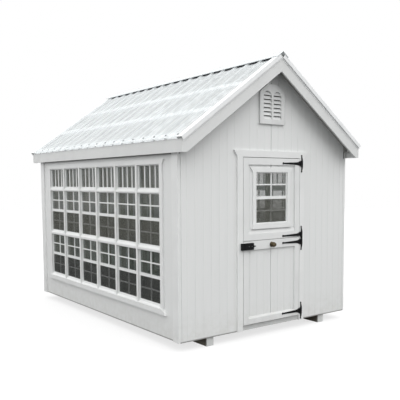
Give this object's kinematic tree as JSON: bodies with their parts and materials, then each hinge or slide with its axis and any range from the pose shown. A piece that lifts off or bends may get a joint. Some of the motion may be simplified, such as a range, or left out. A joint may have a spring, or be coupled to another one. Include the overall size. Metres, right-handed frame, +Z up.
{
  "type": "greenhouse",
  "caption": "Timber greenhouse shed on skids with a ribbed clear gable roof, a bank of small-paned windows along each side and a two-leaf front door on strap hinges.",
  "frame": {"origin": "centre of the footprint, on the ground under the skids", "axes": "+X to the right seen from the door, +Y from the door wall to the back wall along the ridge, +Z up"},
  "size_m": [2.6508, 4.0406, 3.1276],
  "materials": {
    "siding": "white paint on grooved panel, eggshell",
    "trim": "white paint on board, eggshell",
    "framing": "whitewash on planed softwood",
    "treated_timber": "rough treated softwood",
    "deck_board": "grey floor paint on plywood",
    "roof_sheet": "clear ribbed sheet, slightly hazy",
    "ridge_cap": "clear sheet, slightly hazy",
    "closure": "black foam",
    "flashing": "white painted sheet metal",
    "window_frame": "white frame, satin",
    "window_glass": "clear glass",
    "vent": "white moulded louvres",
    "hardware": "black powder coat",
    "knob": "aged bronze"
  },
  "bodies": {
    "building": {"skids": "treated_timber", "floor_frame": "treated_timber", "floor_deck": "deck_board", "front_wall_left": "siding", "front_wall_right": "siding", "front_wall_gable": "siding", "back_wall": "siding", "left_wall": "siding", "right_wall": "siding", "left_studs": "framing", "right_studs": "framing", "gable_studs": "framing", "corner_boards": "trim", "left_window_trim": "trim", "left_window_frames": "window_frame", "left_window_glass": "window_glass", "right_window_trim": "trim", "right_window_frames": "window_frame", "right_window_glass": "window_glass", "rafters": "framing", "ridge_board": "framing", "purlins": "trim", "roof_sheet_left": "roof_sheet", "roof_sheet_right": "roof_sheet", "ridge_cap": "ridge_cap", "ridge_closures": "closure", "soffits": "trim", "fascias": "trim", "barge_boards": "trim", "rake_flashings": "flashing", "front_vent": "vent", "back_vent": "vent", "door_casing": "trim", "threshold": "trim", "hinge_plates": "hardware", "latch_keeper": "hardware"},
    "upper_leaf": {"upper_leaf_panel": "siding", "upper_leaf_frame": "trim", "leaf_window_trim": "trim", "leaf_window_frame": "window_frame", "leaf_window_glass": "window_glass", "upper_straps": "hardware"},
    "lower_leaf": {"lower_leaf_panel": "siding", "lower_leaf_frame": "trim", "lower_straps": "hardware", "latch": "hardware", "knob": "knob"}
  },
  "joints": [
    {"name": "upper_leaf_hinge", "type": "hinge", "parent": "building", "child": "upper_leaf", "pos_m": [0.449, -1.8553, 1.522], "axis": [0, 0, 1], "range_deg": [0, 160]},
    {"name": "lower_leaf_hinge", "type": "hinge", "parent": "building", "child": "lower_leaf", "pos_m": [0.449, -1.8553, 0.6175], "axis": [0, 0, 1], "range_deg": [0, 160]}
  ]
}
